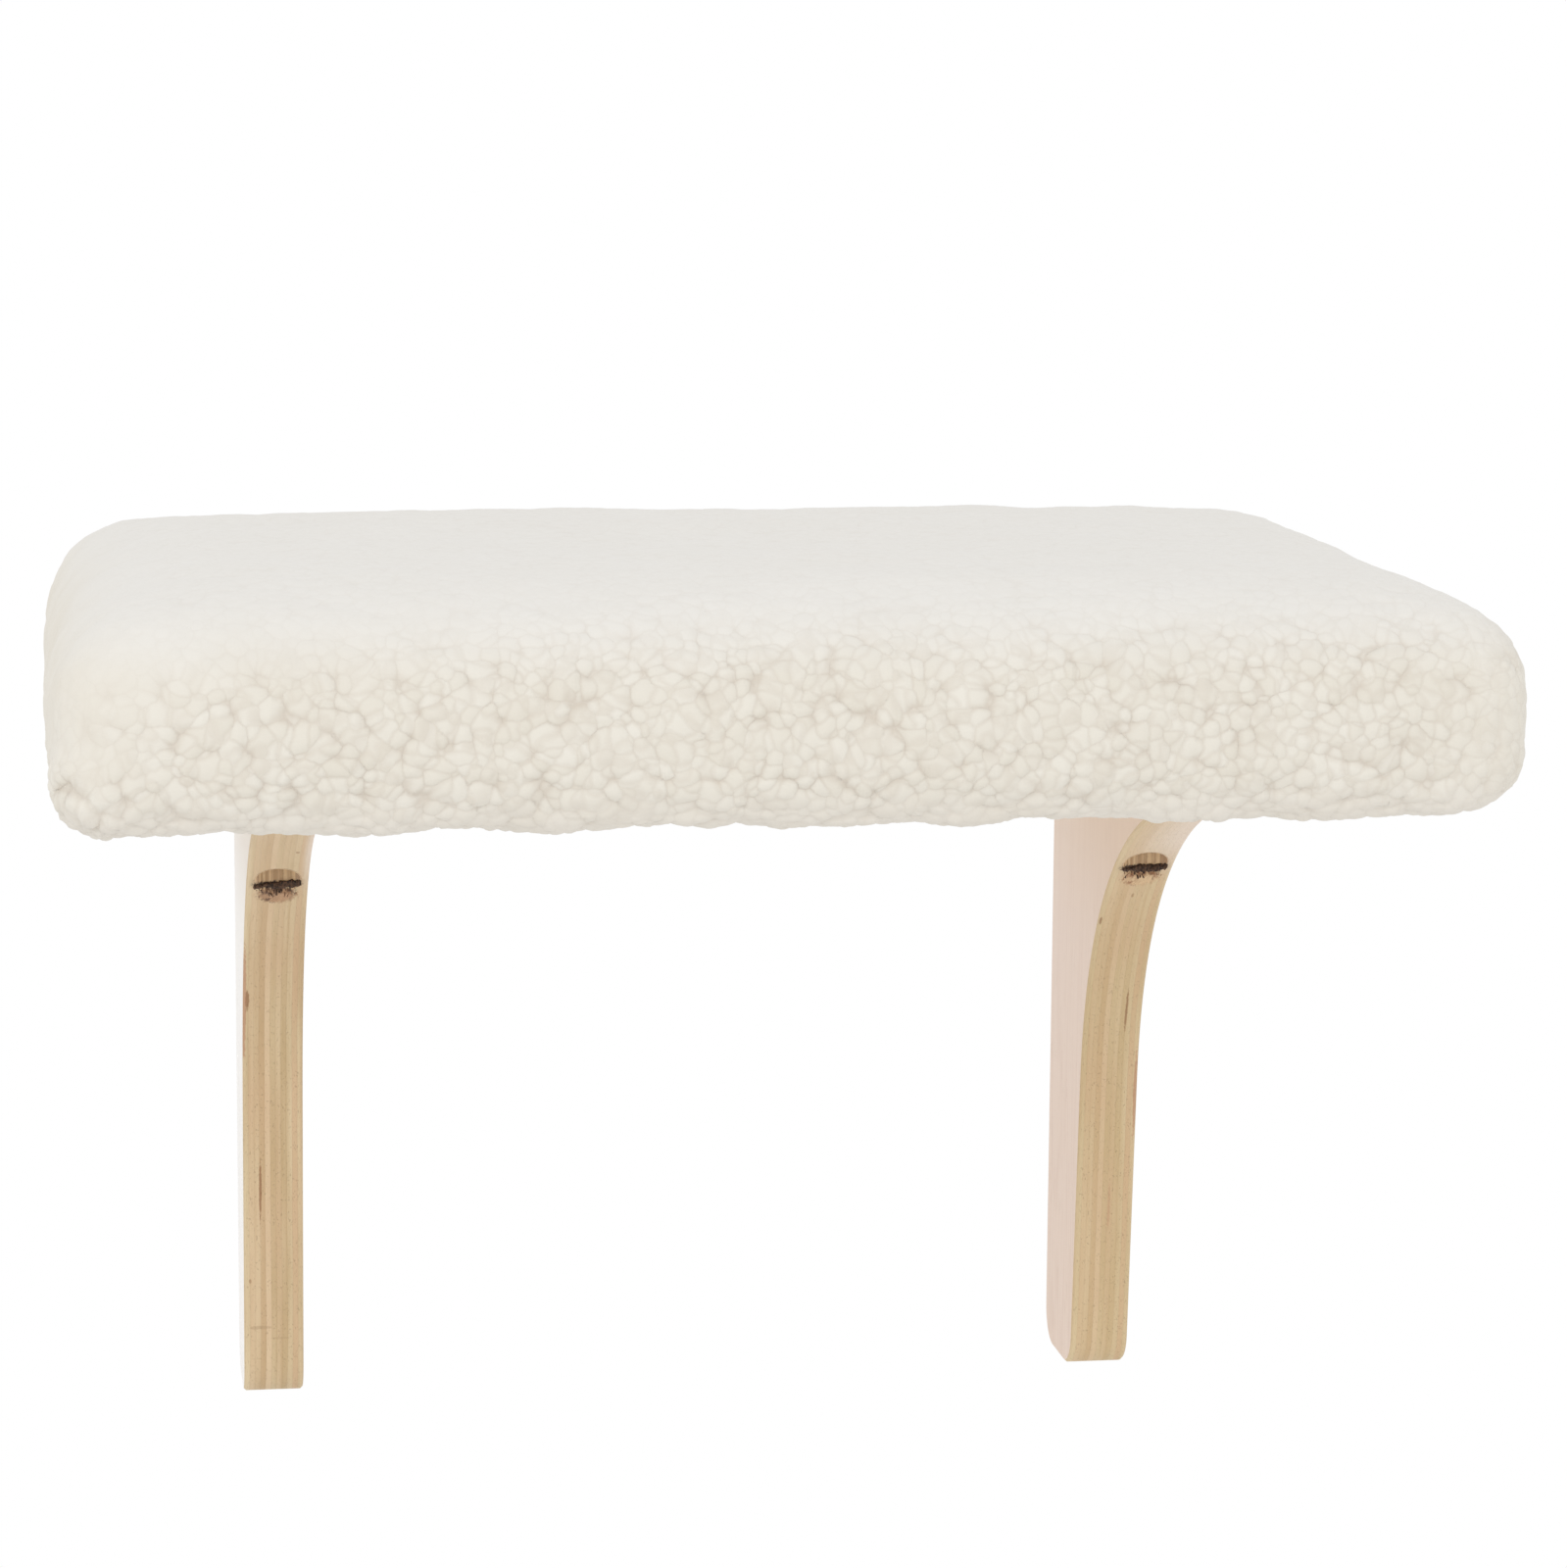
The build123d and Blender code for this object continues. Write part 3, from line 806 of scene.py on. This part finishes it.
def dome(tree, vector, scale, feature):
    """Round lumps strewn at random: the height of one, 1 at its top, and its colour.

    The feature F1 gives the nearest lump, and F2 the one after it.
    """
    inputs = {"Vector": vector, "Scale": scale}
    found = add_node(tree, "ShaderNodeTexVoronoi", inputs, feature=feature).outputs
    away = calc(tree, "DIVIDE", found["Distance"], lump_reach)
    return calc(tree, "SUBTRACT", 1.0, calc(tree, "MULTIPLY", away, away)), found["Color"]


def curls(tree, vector):
    """Curls that lie over one another: height, nearness to a crease and tone of the top one."""
    loose = wander(tree, wander(tree, vector, 55, 0.009), 190, 0.0026)
    moved = vector_calc(tree, "ADD", loose, (0.31, 0.17, 0.43))
    wide, wide_colour = dome(tree, loose, wide_scale, "F1")
    slim, slim_colour = dome(tree, moved, slim_scale, "F1")
    slim_on_top = calc(tree, "GREATER_THAN", slim, wide)
    tone = split(tree, mix(tree, slim_on_top, wide_colour, slim_colour))["X"]
    height = calc(tree, "MAXIMUM", wide, slim)
    wide_second = dome(tree, loose, wide_scale, "F2")[0]
    slim_second = dome(tree, moved, slim_scale, "F2")[0]
    second = calc(tree, "MAXIMUM", wide_second, slim_second)
    second = calc(tree, "MAXIMUM", second, calc(tree, "MINIMUM", wide, slim))
    meeting = ease(tree, calc(tree, "SUBTRACT", height, second), 0.0, 0.36, start=1.0, end=0.0)
    return calc(tree, "MAXIMUM", height, 0.0), meeting, tone


curl_height, _, curl_tone = curls(pile, spot)
swells = add_node(pile, "ShaderNodeTexNoise", {"Vector": spot, "Scale": 30, "Detail": 1.0}).outputs[0]
lining_share = add_node(pile, "GeometryNodeInputNamedAttribute", {"Name": "lining"}, data_type="FLOAT")
bare = calc(pile, "SUBTRACT", 1.0, lining_share.outputs[0])
steps = split(pile, spot)
level = steps["Z"]

# The curls lie flat on the top and towards both ends. They stand up on the front, and on all of the
# lower left corner.
leftward = calc(pile, "MULTIPLY_ADD", steps["X"], -0.09, -0.0080)
leftward = calc(pile, "ADD", level, calc(pile, "MAXIMUM", leftward, 0.0))
worn = ease(pile, leftward, 0.086, 0.117, start=1.0, end=0.18)
left_worn = ease(pile, steps["X"], cover_low.x + 0.010, cover_low.x + 0.055, start=0.3, end=1.0)
left_worn = calc(pile, "MAXIMUM", left_worn, ease(pile, level, 0.050, 0.072, start=0.9, end=0.0))
right_worn = ease(pile, steps["X"], cover_high.x - 0.050, cover_high.x - 0.010, start=1.0, end=0.5)
worn = calc(pile, "MULTIPLY", worn, calc(pile, "MULTIPLY", left_worn, right_worn))
curl_depth = 0.0024
curl_spread = 0.0004
sunk = calc(pile, "MULTIPLY_ADD", curl_tone, curl_spread, -curl_depth)
relief = calc(pile, "MULTIPLY_ADD", curl_height, curl_depth, sunk)
relief = calc(pile, "MULTIPLY", relief, worn)
rim_worn = ease(pile, level, 0.033, 0.050, start=0.4, end=1.0)

# Slow swells loosen the outline, most along the lower edge, and the lower left corner bunches up.
hanging = ease(pile, level, 0.034, 0.060, start=0.0080, end=0.0036)
swell = calc(pile, "MULTIPLY", calc(pile, "SUBTRACT", swells, 0.5), hanging)
bunch_place = (cover_low.x + 0.009, cover_low.y + 0.012, cover_low.z + 0.009)
bunch = add_node(pile, "ShaderNodeVectorMath", {0: spot, 1: bunch_place}, operation="DISTANCE")
bunch = ease(pile, bunch.outputs["Value"], 0.008, 0.028, start=0.0030, end=0.0)
swell = calc(pile, "ADD", swell, calc(pile, "MULTIPLY", bunch, calc(pile, "ADD", curl_height, 0.4)))
tuft = calc(pile, "MULTIPLY", calc(pile, "ADD", relief, swell), bare)
outward = add_node(pile, "GeometryNodeInputNormal").outputs[0]
offset = add_node(pile, "ShaderNodeVectorMath", {0: outward, "Scale": tuft}, operation="SCALE").outputs[0]

# Each staple pulls the hem up round it, so that its crown shows in a dimple of the pile.
wires = pile.nodes.new("GeometryNodeJoinGeometry")
for name in ("front", "back", "left", "right"):
    held = pile.nodes.new("GeometryNodeObjectInfo")
    held.inputs["Object"].default_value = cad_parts["hem_staples_" + name]
    pile.links.new(held.outputs["Geometry"], wires.inputs[0])
near = pile.nodes.new("GeometryNodeProximity")
pile.links.new(wires.outputs[0], near.inputs[0])
dimple = ease(pile, near.outputs["Distance"], 0.0038, 0.0092, start=0.0042, end=0.0)
underneath = ease(pile, level, 0.036, 0.038, start=1.0, end=0.0)
dimple = calc(pile, "MULTIPLY", dimple, calc(pile, "MULTIPLY", underneath, bare))
lift = add_node(pile, "ShaderNodeCombineXYZ", {2: dimple}).outputs[0]
offset = vector_calc(pile, "ADD", offset, lift)
kept = {"Geometry": skin, "Name": "rest_place", "Value": spot}
kept = add_node(pile, "GeometryNodeStoreNamedAttribute", kept, data_type="FLOAT_VECTOR", domain="POINT")
seen_depth = calc(pile, "MULTIPLY", worn, rim_worn)
shown = {"Geometry": kept.outputs[0], "Name": "pile_depth", "Value": seen_depth}
shown = add_node(pile, "GeometryNodeStoreNamedAttribute", shown, data_type="FLOAT", domain="POINT")
raised = add_node(pile, "GeometryNodeSetPosition", {"Geometry": shown.outputs[0], "Offset": offset})
add_node(pile, "NodeGroupOutput", {"Geometry": raised.outputs[0]})
apply_modifier(cover, "NODES", node_group=pile)
bpy.ops.object.shade_smooth_by_angle(angle=math.radians(62))

fleece, tree, shader, place = new_material("curly_fleece")
rest_place = add_node(tree, "ShaderNodeAttribute", attribute_name="rest_place").outputs["Vector"]
pile_depth = add_node(tree, "ShaderNodeAttribute", attribute_name="pile_depth").outputs["Fac"]
curl_height, meeting, curl_tone = curls(tree, rest_place)
# Painted shade: the creases between curls and the hollows among them are painted a darker grey-brown.
shaded_hollow = ease(tree, curl_height, 0.05, 0.75, start=1.0, end=0.0)
crease_shade = calc(tree, "MULTIPLY_ADD", meeting, 0.34, calc(tree, "MULTIPLY", shaded_hollow, 0.62))
crease_shade = calc(tree, "MULTIPLY", crease_shade, pile_depth)
yarn = stretched_noise(tree, rest_place, (1, 1, 1), 700, 2, 1.0)
cloud = stretched_noise(tree, rest_place, (1, 1, 1), 26, 2)
level = split(tree, place)["Z"]
cream = mix(tree, ease(tree, cloud, 0.3, 0.7), paint(234, 229, 219), paint(230, 224, 212))
curl_tint = mix(tree, curl_tone, paint(238, 234, 224), paint(228, 222, 209))
cream = mix(tree, calc(tree, "MULTIPLY", pile_depth, 0.55), cream, curl_tint)
# Painted light: the top of the cover is painted paler, as lit from above.
cream = mix(tree, ease(tree, level, 0.085, 0.117, end=0.8), cream, paint(237, 235, 231))
# Painted shade in the creases and hollows of the pile.
cream = mix(tree, calc(tree, "MULTIPLY", crease_shade, 0.62), cream, paint(207, 195, 181))
# Painted shade: the lower rim, where the cover turns under, is painted a pinkish grey.
cream = mix(tree, ease(tree, level, 0.033, 0.050, start=0.30, end=0.0), cream, paint(230, 223, 215))
tree.links.new(cream, shader.inputs["Base Color"])
shader.inputs["Roughness"].default_value = 0.92
shader.inputs["Sheen Weight"].default_value = 0.15
shader.inputs["Sheen Roughness"].default_value = 0.5
shader.inputs["Specular IOR Level"].default_value = 0.2
fine = calc(tree, "MULTIPLY_ADD", meeting, -0.16, curl_height)
fine = calc(tree, "MULTIPLY_ADD", fine, pile_depth, calc(tree, "MULTIPLY", yarn, 0.12))
bump(tree, shader, fine, 0.0013, 0.4)
cover.data.materials.clear()
cover.data.materials.append(fleece)
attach(cover, "root")
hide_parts("fleece_cover")


# Staples: galvanised wire, bent square and shot up through the hem into the board. They stand in
# four rows, one along each side of the seat.
wire, tree, shader, place = new_material("galvanised_wire")
dull = stretched_noise(tree, place, (1, 1, 1), 1500, 2)
tree.links.new(mix(tree, dull, paint(214, 215, 216), paint(178, 180, 184)), shader.inputs["Base Color"])
tree.links.new(ease(tree, dull, 0.3, 0.7, start=0.3, end=0.5), shader.inputs["Roughness"])
shader.inputs["Metallic"].default_value = 1
dress([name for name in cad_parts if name.startswith("hem_staples")], wire)
